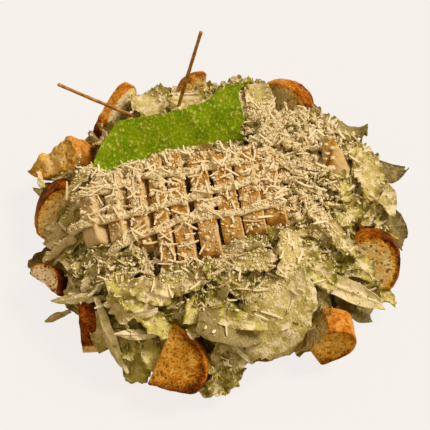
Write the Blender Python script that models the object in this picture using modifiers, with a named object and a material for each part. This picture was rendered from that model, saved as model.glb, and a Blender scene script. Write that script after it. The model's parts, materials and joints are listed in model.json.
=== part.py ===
"""Caesar salad, heaped on a flat surface with no dish.

A low heap of dressed lettuce carries a sliced, browned chicken breast, a thin curved green crisp,
two thin crisp sticks, one loose tip of chicken and ten croutons cut from a baguette.
Metres, +Z up, the diner's side towards -Y. The origin is at the bottom centre of the whole.
"""

import math

import bmesh
import bpy
from mathutils import Matrix, Vector, noise

MM = 0.001

# Lettuce heap
HEAP_REACH = 113 * MM  # mean distance from the middle to the rim
HEAP_EDGE = 11 * MM  # height of the rim where it reaches furthest out
HEAP_RISE = 43 * MM  # rise from the rim to the crown
HEAP_FALL = 5.0  # power of the crown's fall towards the rim
HEAP_FOOT = 0.90  # share of the reach that rests on the surface
HEAP_SEGMENTS = 64
HEAP_RINGS = 24
LUMP_SIZE = 34 * MM
LUMP_HEIGHT = 4.5 * MM
# Leaves that stand out of the rim: direction in degrees, extra reach, half width in degrees
RIM_LEAVES = [
    (15, 22 * MM, 9),
    (-3, 11 * MM, 9),
    (38, 19 * MM, 12),
    (-31, 14 * MM, 9),
    (-66, 4 * MM, 14),
    (-93, 13 * MM, 8),
    (-118, 13 * MM, 6),
    (-133, 8 * MM, 7),
    (-146, 11 * MM, 5),
    (164, 26 * MM, 6),
    (112, 12 * MM, 24),
    (74, 13 * MM, 18),
]

# Chicken breast, cut across into slices that fan over the crown
SLICE_HEIGHT = 18 * MM
SLICE_SIDES = 28
FAN_LEFT = -80 * MM  # where the first slice starts, left of the middle
FAN_LIFT = 50 * MM
FAN_HEADING = math.radians(8)
FAN_TILT = math.radians(4)  # the breast slopes down towards the diner
FAN_ROLL = math.radians(4)  # and down to the left
# From left to right: thickness, gap to the next, reach to the front and to the back, lean in degrees
SLICES = [
    (11.0 * MM, 2.5 * MM, 34 * MM, 14 * MM, 36),
    (10.0 * MM, 2.0 * MM, 38 * MM, 21 * MM, 30),
    (9.5 * MM, 2.0 * MM, 43 * MM, 26 * MM, 22),
    (8.5 * MM, 1.6 * MM, 60 * MM, 28 * MM, 12),
    (10.0 * MM, 4.5 * MM, 62 * MM, 29 * MM, 7),
    (11.0 * MM, 3.5 * MM, 55 * MM, 28 * MM, 4),
    (12.0 * MM, 3.0 * MM, 47 * MM, 27 * MM, 3),
    (12.0 * MM, 2.5 * MM, 43 * MM, 25 * MM, 4),
    (12.0 * MM, 2.5 * MM, 36 * MM, 22 * MM, 6),
]

# The breast's pointed end, stood up on its cut
TIP_HALF_WIDTH = 11.5 * MM
TIP_HALF_DEPTH = 9.0 * MM
TIP_HEIGHT = 41 * MM
TIP_CUT = 4.5 * MM  # from its middle to the flat cut at its back
TIP_PLACE = (85.5 * MM, 14 * MM, 38 * MM)
TIP_TURN = (math.radians(-30), math.radians(-8), math.radians(20))

# Thin green crisp that stands behind the chicken
CRISP_THICK = 1.3 * MM
CRISP_LENGTH = 114 * MM
CRISP_HEIGHT = 35.5 * MM
CRISP_BEND = 4 * MM
CRISP_LEAN = 0.55
CRISP_WAVE = 2 * MM
CRISP_SPIKE = 9 * MM  # how far the top of the torn right end runs on
CRISP_PLACE = (-30 * MM, 30.5 * MM, 37 * MM)
CRISP_TILT = math.radians(-5)
CRISP_HEADING = math.radians(15)
CRISP_COLUMNS = 26
CRISP_ROWS = 6

# Thin crisp sticks
STICK_RADIUS = 1.25 * MM
STICK_BOW = 1.2 * MM
STICK_POINTS = 7

CLEARANCE = 0.4 * MM  # play left round every piece that sits in the lettuce
CRUMB_EDGE = 1.4 * MM  # rounding of a crouton's cut edges
MEAT_EDGE = 1.0 * MM


def collection(name):
    made = bpy.data.collections.new(name)
    bpy.context.scene.collection.children.link(made)
    return made


def material(name, colour, roughness, metallic=0.0):
    made = bpy.data.materials.new(name)
    made.use_nodes = True
    shader = made.node_tree.nodes["Principled BSDF"]
    shader.inputs["Base Color"].default_value = (*colour, 1.0)
    shader.inputs["Roughness"].default_value = roughness
    shader.inputs["Metallic"].default_value = metallic
    return made


def signed_power(value, power):
    return math.copysign(abs(value) ** power, value)


def new_object(name, body, home, look=None):
    mesh = bpy.data.meshes.new(name)
    body.to_mesh(mesh)
    body.free()
    made = bpy.data.objects.new(name, mesh)
    home.objects.link(made)
    if look:
        mesh.materials.append(look)
    mesh.shade_smooth()
    mesh.set_sharp_from_angle(angle=math.radians(50))
    return made


def round_edges(piece, width, segments=1):
    bevel = piece.modifiers.new("rounded", "BEVEL")
    bevel.width = width
    bevel.segments = segments
    bevel.limit_method = "ANGLE"
    bevel.angle_limit = math.radians(50)


def rim_reach(angle):
    """How far the lettuce reaches from the middle in this direction."""
    reach = HEAP_REACH * (1 + 0.012 * math.sin(5 * angle + 1.0) + 0.010 * math.sin(11 * angle))
    for direction, extra, half_width in RIM_LEAVES:
        off = math.degrees(angle) - direction
        off = (off + 180) % 360 - 180
        reach += extra * math.exp(-((off / half_width) ** 2))
    return reach


def crown_height(share):
    """Height of the heap's top at this share of the reach."""
    return HEAP_EDGE + HEAP_RISE * (1 - min(share, 1.0) ** HEAP_FALL)


def lettuce_heap(home, look):
    """A dome with a lobed rim, a flat foot and leafy lumps, shaped from a sphere."""
    body = bmesh.new()
    bmesh.ops.create_uvsphere(body, u_segments=HEAP_SEGMENTS, v_segments=HEAP_RINGS, radius=1.0)
    for vertex in body.verts:
        angle = math.atan2(vertex.co.y, vertex.co.x)
        latitude = math.asin(max(-1.0, min(1.0, vertex.co.z)))
        reach = rim_reach(angle)
        if latitude >= 0:
            share = math.cos(latitude) ** 0.85
            height = crown_height(share)
        else:
            down = min(1.0, -latitude / math.radians(35))
            share = 1 - (1 - HEAP_FOOT) * down
            if latitude < -math.radians(35):
                share = HEAP_FOOT * math.cos(latitude) / math.cos(math.radians(35))
            height = HEAP_EDGE * (1 - down)
        x, y = reach * share * math.cos(angle), reach * share * math.sin(angle)
        if height > 0.2 * MM:
            lump = noise.noise(Vector((x, y, 0.02)) / LUMP_SIZE)
            height += LUMP_HEIGHT * lump * min(1.0, height / HEAP_EDGE)
        vertex.co = (x, y, max(height, 0.0))
    return new_object("lettuce_heap", body, home, look)


def chicken_slices(home, look):
    """Bars with blunt browned ends, each leaning a little less than the one to its left."""
    made = []
    fan = Matrix.Translation((0, 0, FAN_LIFT)) @ Matrix.Rotation(FAN_HEADING, 4, "Z")
    fan = fan @ Matrix.Rotation(-FAN_ROLL, 4, "Y") @ Matrix.Rotation(FAN_TILT, 4, "X")
    longest = max(front + back for _, _, front, back, _ in SLICES)
    left = FAN_LEFT
    for number, (thick, gap, front, back, lean) in enumerate(SLICES, 1):
        length = front + back
        crown = SLICE_HEIGHT * (0.80 + 0.20 * length / longest)
        body = bmesh.new()
        bmesh.ops.create_cone(
            body, cap_ends=True, segments=SLICE_SIDES, radius1=1.0, radius2=1.0, depth=thick
        )
        for vertex in body.verts:
            angle = math.atan2(vertex.co.y, vertex.co.x)
            along = 0.5 * length * signed_power(math.cos(angle), 0.42)
            up = 0.5 * crown * (1 + signed_power(math.sin(angle), 0.5))
            up -= 0.10 * crown * (2 * along / length) ** 2 * (up / crown)
            vertex.co = (vertex.co.z + 0.5 * thick, along, up)
        piece = new_object(f"chicken_slice_{number:02d}", body, home, look)
        round_edges(piece, MEAT_EDGE)
        slope = math.radians(lean)
        place = Matrix.Rotation(-slope, 4, "Y")
        place.translation = (left, 0.5 * (back - front), 0)
        piece.matrix_world = fan @ place
        left += thick / math.cos(slope) + gap
        made.append(piece)
    return made


def chicken_tip(home, look):
    """The pointed end of the breast, cut off flat and stood up with its point in the air."""
    body = bmesh.new()
    bmesh.ops.create_uvsphere(body, u_segments=16, v_segments=11, radius=1.0)
    for vertex in body.verts:
        up = 0.5 * (vertex.co.z + 1)
        girth = (1 - up) ** 0.45 * min(1.0, 3.2 * up) ** 0.5
        round_part = Vector((vertex.co.x, vertex.co.y, 0))
        if round_part.length > 0:
            round_part.normalize()
        vertex.co = (
            round_part.x * TIP_HALF_WIDTH * girth,
            round_part.y * TIP_HALF_DEPTH * girth,
            TIP_HEIGHT * up,
        )
    cut = bmesh.ops.bisect_plane(
        body,
        geom=body.verts[:] + body.edges[:] + body.faces[:],
        plane_co=(0, TIP_CUT, 0),
        plane_no=(0, 1, 0),
        clear_outer=True,
    )
    rim = [part for part in cut["geom_cut"] if isinstance(part, bmesh.types.BMEdge)]
    bmesh.ops.holes_fill(body, edges=rim)
    piece = new_object("chicken_tip", body, home, look)
    piece.rotation_euler = TIP_TURN
    piece.location = TIP_PLACE
    return piece


def crouton(name, home, look, size, at, tilt=0, spin=0, heading=0, cuts=(), edge=CRUMB_EDGE):
    """A piece of a baguette slice.

    size is width, height and thickness along the loaf. The outline is the loaf's oval less the
    cuts, each a direction in degrees and the share of the half size where the knife went.
    tilt leans the piece back, spin turns it in its own plane and heading turns it about the upright.
    """
    width, height, thick = size
    body = bmesh.new()
    bmesh.ops.create_cone(body, cap_ends=True, segments=26, radius1=1.0, radius2=1.0, depth=1.0)
    for direction, share in cuts:
        away = Vector((math.cos(math.radians(direction)), math.sin(math.radians(direction)), 0))
        cut = bmesh.ops.bisect_plane(
            body,
            geom=body.verts[:] + body.edges[:] + body.faces[:],
            plane_co=away * share,
            plane_no=away,
            clear_outer=True,
        )
        rim = [part for part in cut["geom_cut"] if isinstance(part, bmesh.types.BMEdge)]
        bmesh.ops.holes_fill(body, edges=rim)
    middle_x = (max(v.co.x for v in body.verts) + min(v.co.x for v in body.verts)) / 2
    middle_z = (max(v.co.y for v in body.verts) + min(v.co.y for v in body.verts)) / 2
    for vertex in body.verts:
        x, z, y = vertex.co.x - middle_x, vertex.co.y - middle_z, vertex.co.z
        wobble = 1 + 0.05 * noise.noise(Vector((x * 1.7, z * 1.7, len(name) + y)))
        vertex.co = (0.5 * width * x * wobble, -y * thick, 0.5 * height * z * wobble)
    bmesh.ops.recalc_face_normals(body, faces=body.faces[:])
    if body.calc_volume(signed=True) < 0:
        bmesh.ops.reverse_faces(body, faces=body.faces[:])
    piece = new_object(name, body, home, look)
    round_edges(piece, edge)
    piece.rotation_mode = "YXZ"
    piece.rotation_euler = (math.radians(tilt), math.radians(spin), math.radians(heading))
    piece.location = Vector(at) * MM
    return piece


def croutons(home, look):
    """Ten pieces round the heap, named by where they lie, starting behind and going left."""
    def piece(name, size, at, turns, cuts):
        tilt, spin, heading = turns
        scaled = tuple(side * MM for side in size)
        return crouton("crouton_" + name, home, look, scaled, at, tilt, spin, heading, cuts)

    # Each row: name, (width, height, thickness), (x, y, z), (tilt, spin, heading), cuts.
    return [
        piece("back", (34, 25, 14), (-16.7, 107.7, 40), (-37, 1, 11), [(-106, 0.59), (-4, 0.21)]),
        piece("back_left", (23.5, 50.5, 8.5), (-71.8, 83.8, 39), (-7, 59, 53), [(0, 0.83), (-83, 0.78)]),
        piece("left_upper", (49, 34.5, 21), (-109, 48.6, 29), (-50, -30, -38), [(134, 0.05), (-80, 0.9)]),
        piece("left", (36, 52.5, 14.5), (-106.3, 6.6, 22), (-26, 15, 15), [(-48, 0.21), (-120, 0.77)]),
        piece("left_lower", (35.5, 39, 17.5), (-106, -51, 23), (-56, -30, -60), [(188, 0.58), (258, -0.3)]),
        piece("front_left", (37.5, 39, 10), (-81, -85, 20), (1, 24, 93), [(-19, -0.19), (-70, 0.59)]),
        piece("front", (60.5, 43.5, 15.5), (-19.7, -115.3, 23), (-55, 11, -22), [(184, 0.08), (-67, 0.81)]),
        piece("front_right", (41, 28.5, 22), (73.3, -91.6, 21), (-15, -11, 6), [(144, 0.38), (-167, 0.45)]),
        piece("right", (40.5, 48, 17.5), (102.6, -37.8, 25), (-35, 19, -5), [(199, 0.79), (-71, 0.59)]),
        piece("back_right", (43.5, 32.5, 18.5), (53.4, 96.4, 38), (-31, 1, -25), [(182, 0.6), (-95, 0.54)]),
    ]


def green_crisp(home, look, thick=CRISP_THICK, name="green_crisp", over=0.0):
    """A thin band bent like a tile, with a pointed left end and a torn right end.

    over lengthens it all round, for the slot that it stands in.
    """
    body = bmesh.new()
    bmesh.ops.create_grid(body, x_segments=CRISP_COLUMNS, y_segments=CRISP_ROWS, size=0.5)
    for vertex in body.verts:
        run = vertex.co.x + 0.5
        rise = vertex.co.y + 0.5
        top = CRISP_HEIGHT * min(1.0, (run / 0.27) ** 0.58)
        top *= 1 + 0.17 * min(1.0, max(0.0, (run - 0.80) / 0.10))
        bottom = 0.06 * CRISP_HEIGHT * math.sin(3 * math.pi * run)
        height = bottom - over + (top - bottom + 2 * over) * rise
        length = CRISP_LENGTH * (run - 0.5) * (1 + 2 * over / CRISP_LENGTH)
        torn = max(0.0, (run - 0.88) / 0.12)
        length += CRISP_SPIKE * torn * max(0.0, (rise - 0.65) / 0.35) - 1 * MM * torn
        bend = CRISP_BEND * (1 - (2 * run - 1) ** 2)
        lean = CRISP_LEAN * height + CRISP_WAVE * math.sin(2.2 * math.pi * run + 0.6) * rise
        vertex.co = (length, bend + lean, height)
    piece = new_object(name, body, home, look)
    shell = piece.modifiers.new("thickness", "SOLIDIFY")
    shell.thickness = thick
    shell.offset = 0.0
    piece.rotation_euler = (0, CRISP_TILT, CRISP_HEADING)
    piece.location = CRISP_PLACE
    return piece


def crisp_stick(name, home, look, foot, tip):
    """A thin baked stick with a slight bow."""
    foot, tip = Vector(foot) * MM, Vector(tip) * MM
    side = (tip - foot).cross(Vector((0, 0, 1))).normalized()
    path = bpy.data.curves.new(name, "CURVE")
    path.dimensions = "3D"
    path.bevel_depth = STICK_RADIUS
    path.bevel_resolution = 2
    path.use_fill_caps = True
    line = path.splines.new("POLY")
    line.points.add(STICK_POINTS - 1)
    for number, point in enumerate(line.points):
        share = number / (STICK_POINTS - 1)
        place = foot.lerp(tip, share) + side * STICK_BOW * math.sin(math.pi * share)
        point.co = (*place, 1.0)
    path.materials.append(look)
    stick = bpy.data.objects.new(name, path)
    home.objects.link(stick)
    return stick


def hide(cutter):
    cutter.hide_render = True
    cutter.display_type = "WIRE"


def hull_of(pieces, home, name):
    """One convex block round these pieces, grown by the clearance in each piece's own frame."""
    body = bmesh.new()
    graph = bpy.context.evaluated_depsgraph_get()
    for piece in pieces:
        mesh = piece.evaluated_get(graph).to_mesh()
        corners = [vertex.co.copy() for vertex in mesh.vertices]
        low = Vector(min(corner[axis] for corner in corners) for axis in range(3))
        high = Vector(max(corner[axis] for corner in corners) for axis in range(3))
        middle, half = (low + high) / 2, (high - low) / 2
        for corner in corners:
            grown = [
                middle[axis] + (corner[axis] - middle[axis]) * (1 + CLEARANCE / half[axis])
                for axis in range(3)
            ]
            body.verts.new(piece.matrix_world @ Vector(grown))
        piece.evaluated_get(graph).to_mesh_clear()
    hull = bmesh.ops.convex_hull(body, input=body.verts[:])
    inside = [part for part in hull["geom_interior"] if isinstance(part, bmesh.types.BMVert)]
    bmesh.ops.delete(body, geom=inside, context="VERTS")
    bmesh.ops.recalc_face_normals(body, faces=body.faces[:])
    cutter = new_object(name, body, home)
    hide(cutter)
    return cutter


def stick_hole(stick, home):
    """A straight round hole, wide enough for the stick's bow, that starts a little past its foot."""
    ends = [Vector(stick.data.splines[0].points[end].co[:3]) for end in (0, -1)]
    along = ends[1] - ends[0]
    body = bmesh.new()
    radius = STICK_RADIUS + STICK_BOW + CLEARANCE
    bmesh.ops.create_cone(
        body,
        cap_ends=True,
        segments=10,
        radius1=radius,
        radius2=radius,
        depth=along.length + 2 * CLEARANCE,
    )
    cutter = new_object("hole_" + stick.name, body, home)
    turn = along.to_track_quat("Z", "Y").to_matrix().to_4x4()
    cutter.matrix_world = Matrix.Translation(sum(ends, Vector()) / 2) @ turn
    hide(cutter)
    return cutter


def cut_from(piece, cutter):
    cut = piece.modifiers.new(cutter.name, "BOOLEAN")
    cut.operation = "DIFFERENCE"
    cut.object = cutter


def stand_on_origin(pieces):
    """Moves everything so that the bottom centre of the whole is the origin."""
    bpy.context.view_layer.update()
    graph = bpy.context.evaluated_depsgraph_get()
    corners = []
    for piece in pieces:
        shown = piece.evaluated_get(graph)
        corners += [shown.matrix_world @ vertex.co for vertex in shown.to_mesh().vertices]
        shown.to_mesh_clear()
    low = Vector(min(corner[axis] for corner in corners) for axis in range(3))
    high = Vector(max(corner[axis] for corner in corners) for axis in range(3))
    away = Vector(((low.x + high.x) / 2, (low.y + high.y) / 2, 0))
    for thing in bpy.data.objects:
        thing.location -= away


def main():
    for old in list(bpy.data.objects):
        bpy.data.objects.remove(old)
    salad = collection("caesar_salad")
    cutters = collection("cutters")

    leaf = material("dressed_lettuce", (0.62, 0.60, 0.36), 0.5)
    meat = material("browned_chicken", (0.62, 0.36, 0.13), 0.55)
    bread = material("toasted_bread", (0.66, 0.38, 0.14), 0.8)
    green = material("green_crisp", (0.17, 0.40, 0.02), 0.35)
    baked = material("baked_stick", (0.50, 0.24, 0.07), 0.55)

    heap = lettuce_heap(salad, leaf)
    slices = chicken_slices(salad, meat)
    tip = chicken_tip(salad, meat)
    bread_pieces = croutons(salad, bread)
    crisp = green_crisp(salad, green)
    sticks = [
        crisp_stick("crisp_stick_left", salad, baked, (-19, 67, 32), (-108, 72, 80)),
        crisp_stick("crisp_stick_right", salad, baked, (-31, 78, 28), (-9, 76, 126)),
    ]
    bpy.context.view_layer.update()

    cut_from(heap, hull_of(slices, cutters, "seat_chicken"))
    for piece in [tip, *bread_pieces]:
        cut_from(heap, hull_of([piece], cutters, "pocket_" + piece.name))
    for stick in sticks:
        cut_from(heap, stick_hole(stick, cutters))
    slot = green_crisp(cutters, None, CRISP_THICK + 2 * CLEARANCE, "slot_green_crisp", CLEARANCE)
    hide(slot)
    bpy.context.view_layer.update()
    cut_from(heap, slot)

    stand_on_origin([heap, *slices, tip, *bread_pieces, crisp, *sticks])


main()
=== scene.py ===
# %% [markdown]
# # Caesar salad
# A low heap of dressed romaine carries a sliced, browned chicken breast under stripes of sauce and
# grated cheese. Baguette croutons stand round it, a thin green crisp stands behind the chicken, and
# two thin baked sticks lean out of the back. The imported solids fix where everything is; this
# notebook gives each of them the look of the real food.

# %% Setup
import json
import math
import random

import bpy
import numpy as np
from mathutils import Matrix, Vector
from mathutils.bvhtree import BVHTree

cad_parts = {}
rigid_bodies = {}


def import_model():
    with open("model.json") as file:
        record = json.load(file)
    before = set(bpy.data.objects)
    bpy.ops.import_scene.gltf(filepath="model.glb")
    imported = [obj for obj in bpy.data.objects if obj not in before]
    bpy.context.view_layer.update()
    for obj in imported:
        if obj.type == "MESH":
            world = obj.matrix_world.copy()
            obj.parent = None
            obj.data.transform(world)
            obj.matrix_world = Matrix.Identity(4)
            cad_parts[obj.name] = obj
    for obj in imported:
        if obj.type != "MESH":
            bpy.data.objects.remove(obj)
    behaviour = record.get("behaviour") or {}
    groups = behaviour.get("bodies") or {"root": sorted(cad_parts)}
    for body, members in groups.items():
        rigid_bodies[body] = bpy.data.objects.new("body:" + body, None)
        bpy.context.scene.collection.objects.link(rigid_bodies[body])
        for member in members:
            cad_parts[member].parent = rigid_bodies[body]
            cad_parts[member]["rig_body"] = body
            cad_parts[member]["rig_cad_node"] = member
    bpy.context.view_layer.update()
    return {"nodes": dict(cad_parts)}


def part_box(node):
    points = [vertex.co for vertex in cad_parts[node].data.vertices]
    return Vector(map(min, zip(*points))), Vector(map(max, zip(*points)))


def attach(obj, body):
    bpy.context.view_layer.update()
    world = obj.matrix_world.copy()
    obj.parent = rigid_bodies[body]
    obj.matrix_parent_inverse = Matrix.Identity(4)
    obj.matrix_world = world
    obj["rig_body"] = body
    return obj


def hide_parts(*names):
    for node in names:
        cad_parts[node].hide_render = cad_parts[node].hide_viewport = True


MM = 0.001
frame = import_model()
print("packed pieces:", len(frame["nodes"]))

# %% [markdown]
# ## The plan
# The food was laid out on a plan in millimetres whose zero lies near the middle of the heap. The
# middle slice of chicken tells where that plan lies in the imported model, so a place can be given
# as plain plan numbers and still follow the solids.

# %% Plan places
low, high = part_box("chicken_slice_05")
MIDDLE_SLICE_ON_PLAN = Vector((-21.7, -20.3, 0)) * MM
home = (low + high) / 2 - MIDDLE_SLICE_ON_PLAN
home.z = 0


def on_plan(x, y, z=0.0):
    return home + Vector((x, y, z)) * MM


def plan_of(points):
    """Points of the model as plan millimetres."""
    return (np.asarray(points) - np.array(home)) / MM


print("plan zero:", [round(v / MM, 2) for v in home])

# %% [markdown]
# ## Small helpers
# Blender's operators act on whatever is selected, so every step starts by selecting one object
# alone. A modifier is added, set and applied at once, and a mesh's points are read and written as
# one array, which is quick when a surface has thousands of them.


# %% Selecting, modifying and moving points
def only(piece):
    bpy.ops.object.select_all(action="DESELECT")
    piece.select_set(True)
    bpy.context.view_layer.objects.active = piece
    return piece


def modify(piece, kind, **settings):
    only(piece)
    bpy.ops.object.modifier_add(type=kind)
    added = piece.modifiers[-1]
    for name, value in settings.items():
        setattr(added, name, value)
    bpy.ops.object.modifier_apply(modifier=added.name)


def points_of(mesh):
    flat = np.empty(len(mesh.vertices) * 3, np.float32)
    mesh.vertices.foreach_get("co", flat)
    return flat.reshape(-1, 3).astype(float)


def move_points(mesh, points):
    mesh.vertices.foreach_set("co", np.asarray(points, np.float32).ravel())
    mesh.update()


def normals_of(mesh):
    flat = np.empty(len(mesh.vertices) * 3, np.float32)
    mesh.vertex_normals.foreach_get("vector", flat)
    return flat.reshape(-1, 3).astype(float)


def write_attribute(mesh, name, values):
    made = mesh.attributes.get(name) or mesh.attributes.new(name, "FLOAT", "POINT")
    made.data.foreach_set("value", np.asarray(values, np.float32))


def settle_in(piece):
    """Writes the object's place, turn and size into its mesh."""
    only(piece)
    bpy.ops.object.transform_apply(location=True, rotation=True, scale=True)


def smooth(piece, degrees=60):
    only(piece)
    bpy.ops.object.shade_smooth_by_angle(angle=math.radians(degrees))


def step_up(value, low, high):
    """0 below low, 1 above high, and an even S between."""
    share = np.clip((value - low) / (high - low), 0, 1)
    return share * share * (3 - 2 * share)


# %% [markdown]
# ## Noise for whole surfaces
# Bread, leaves and meat all need bumps that look grown rather than drawn. Smooth noise gives soft
# hills, and cell noise gives round pits and blisters. Both are worked out for all the points of a
# surface at once, and always the same way for the same seed.


# %% Noise
def lattice(cells, seed):
    mixed = np.sin(cells @ np.array((127.1, 311.7, 74.7)) + seed * 53.3) * 43758.5453
    return mixed - np.floor(mixed)


def soft_noise(points, size, seed=0.0):
    """Hills from about -1 to 1, with this distance between them."""
    place = np.asarray(points, float) / size
    corner = np.floor(place)
    share = place - corner
    share = share * share * (3 - 2 * share)
    total = 0
    for x in (0, 1):
        for y in (0, 1):
            for z in (0, 1):
                weight = np.prod(np.abs(np.array((1 - x, 1 - y, 1 - z)) - share), axis=1)
                total = total + weight * lattice(corner + (x, y, z), seed)
    return total * 2 - 1


def layered_noise(points, size, seed=0.0):
    return 0.62 * soft_noise(points, size, seed) + 0.38 * soft_noise(points, size / 2.3, seed + 9)


def pits(points, size, seed=0.0, share=0.6, radius=0.42):
    """1 in the middle of round pits, 0 between them; only this share of the cells has a pit."""
    place = np.asarray(points, float) / size
    corner = np.floor(place)
    found = np.zeros(len(place))
    for x in (-1, 0, 1):
        for y in (-1, 0, 1):
            for z in (-1, 0, 1):
                cell = corner + (x, y, z)
                middle = cell + np.stack([lattice(cell, seed + k) for k in (1, 2, 3)], 1)
                reach = radius * (0.45 + 0.55 * lattice(cell, seed + 4)) * (lattice(cell, seed + 5) < share)
                away = np.linalg.norm(place - middle, axis=1) / np.maximum(reach, 1e-6)
                found = np.maximum(found, 1 - step_up(away, 0.55, 1.0))
    return found


# %% [markdown]
# ## Handing a piece over
# Every piece rides on the imported model's one body and, where it stands for imported solids, hides
# them.


# %% Riding on the body
def serve(piece, slot, *nodes):
    smooth(piece)
    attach(piece, "root")
    if nodes:
        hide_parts(*nodes)
    print(f"{piece.name}: {len(piece.data.polygons)} faces")
    return piece


def copy_of(node, name):
    """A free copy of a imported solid, with its loose triangles merged."""
    piece = frame["nodes"][node].copy()
    piece.data = piece.data.copy()
    bpy.context.scene.collection.objects.link(piece)
    piece.name = name
    piece.parent = None
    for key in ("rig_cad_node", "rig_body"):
        if key in piece:
            del piece[key]
    piece.data.materials.clear()
    only(piece)
    bpy.ops.object.mode_set(mode="EDIT")
    bpy.ops.mesh.select_all(action="SELECT")
    bpy.ops.mesh.remove_doubles(threshold=0.00001)
    bpy.ops.object.mode_set(mode="OBJECT")
    return piece


def centre_on(piece, node):
    low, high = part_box(node)
    points = points_of(piece.data)
    move_points(piece.data, points + np.array(low + high) / 2 - (points.max(0) + points.min(0)) / 2)


# %% [markdown]
# ## Node helpers
# Materials are built from the same few nodes again and again, so short helpers place a node with
# its values or links, a colour ramp with its stops, and a mix of two colours.


# %% Nodes and ramps
def put(tree, kind, values=None, **settings):
    made = tree.nodes.new(kind)
    for name, value in settings.items():
        setattr(made, name, value)
    for socket, value in (values or {}).items():
        if isinstance(value, bpy.types.NodeSocket):
            tree.links.new(value, made.inputs[socket])
        else:
            made.inputs[socket].default_value = value
    return made


def ramp(tree, factor, *stops):
    made = put(tree, "ShaderNodeValToRGB", {"Fac": factor})
    while len(made.color_ramp.elements) < len(stops):
        made.color_ramp.elements.new(0.5)
    for element, (place, colour) in zip(made.color_ramp.elements, stops):
        element.position = place
        element.color = (*colour, 1.0)
    return made.outputs["Color"]


def blend_colours(tree, share, first, second):
    made = put(tree, "ShaderNodeMix", data_type="RGBA")
    for socket, value in ((0, share), (6, first), (7, second)):
        if isinstance(value, bpy.types.NodeSocket):
            tree.links.new(value, made.inputs[socket])
        elif socket:
            made.inputs[socket].default_value = (*value, 1.0)
        else:
            made.inputs[socket].default_value = value
    return made.outputs[2]


def sums(tree, operation, first, second, clamp=False):
    return put(tree, "ShaderNodeMath", {0: first, 1: second}, operation=operation, use_clamp=clamp).outputs[0]


def attribute(tree, name):
    return put(tree, "ShaderNodeAttribute", attribute_name=name).outputs["Fac"]


# %% [markdown]
# ## Shared effect: soft patches
# Food is never one colour: toast, dressing and leaf all vary in soft patches, and all of them are
# flecked with small grains. One node group makes patches at any size, and each material places it
# with its own values.


# %% Patch group
def make_patch_group():
    group = bpy.data.node_groups.new("soft patches", "ShaderNodeTree")
    face = group.interface
    for name, value in (("Size", 10.0), ("Detail", 3.0), ("From", 0.4), ("To", 0.6), ("Shift", 0.0)):
        face.new_socket(name, in_out="INPUT", socket_type="NodeSocketFloat").default_value = value
    face.new_socket("Mask", in_out="OUTPUT", socket_type="NodeSocketFloat")
    face.new_socket("Value", in_out="OUTPUT", socket_type="NodeSocketFloat")
    start = put(group, "NodeGroupInput")
    place = put(group, "ShaderNodeTexCoord").outputs["Object"]
    moved = put(group, "ShaderNodeVectorMath", {0: place, 1: start.outputs["Shift"]}, operation="ADD").outputs[0]
    scale = sums(group, "DIVIDE", 1000.0, start.outputs["Size"])
    grain = put(group, "ShaderNodeTexNoise", {"Vector": moved, "Scale": scale, "Detail": start.outputs["Detail"]})
    mask = put(
        group,
        "ShaderNodeMapRange",
        {0: grain.outputs["Fac"], 1: start.outputs["From"], 2: start.outputs["To"]},
        interpolation_type="SMOOTHSTEP",
    )
    end = put(group, "NodeGroupOutput")
    group.links.new(mask.outputs[0], end.inputs["Mask"])
    group.links.new(grain.outputs["Fac"], end.inputs["Value"])
    return group


patch_group = make_patch_group()


def patches(tree, size, low=0.4, high=0.6, detail=3.0, shift=0.0, output="Mask"):
    made = put(tree, "ShaderNodeGroup", node_tree=patch_group)
    for name, value in (("Size", size), ("Detail", detail), ("From", low), ("To", high), ("Shift", shift)):
        made.inputs[name].default_value = value
    return made.outputs[output]


def grain_of(tree, coarse, fine, share=0.5):
    """Two sizes of grain added, for relief."""
    finer = sums(tree, "MULTIPLY", patches(tree, fine, output="Value", detail=1.0), share)
    return sums(tree, "ADD", patches(tree, coarse, output="Value"), finer)


def new_finish(name, roughness=0.5, specular=0.12, coat=0.0):
    made = bpy.data.materials.new(name)
    made.use_nodes = True
    shader = made.node_tree.nodes["Principled BSDF"]
    shader.inputs["Roughness"].default_value = roughness
    shader.inputs["Specular IOR Level"].default_value = specular
    shader.inputs["Coat Weight"].default_value = coat
    return made, made.node_tree, shader


def relief(tree, shader, height, strength=0.5, depth=1.0):
    made = put(tree, "ShaderNodeBump", {"Strength": strength, "Distance": depth * MM, "Height": height})
    tree.links.new(made.outputs["Normal"], shader.inputs["Normal"])


# %% [markdown]
# ## Lettuce finish
# Romaine is pale at the rib and greener towards its frilled edge, and here most of it wears a thin
# coat of creamy dressing. Attributes that each leaf carries say where the rib and the edge are, and
# two more run along and across it, from which the shader draws slanting side veins. So the colour
# follows the leaf wherever it is bent.


# %% Lettuce
def veins(tree):
    """Side veins that leave the rib at a slant, from the leaf's own lengths in millimetres."""
    along, across = attribute(tree, "along"), attribute(tree, "across")
    wander = sums(tree, "MULTIPLY", patches(tree, 7, output="Value"), 5.0)
    slant = sums(tree, "SUBTRACT", along, sums(tree, "MULTIPLY", across, 0.9))
    wave = sums(tree, "SINE", sums(tree, "MULTIPLY", sums(tree, "ADD", slant, wander), 1.25), 0.0)
    return put(tree, "ShaderNodeMapRange", {0: wave, 1: 0.80, 2: 1.0}, interpolation_type="SMOOTHSTEP").outputs[0]


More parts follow.
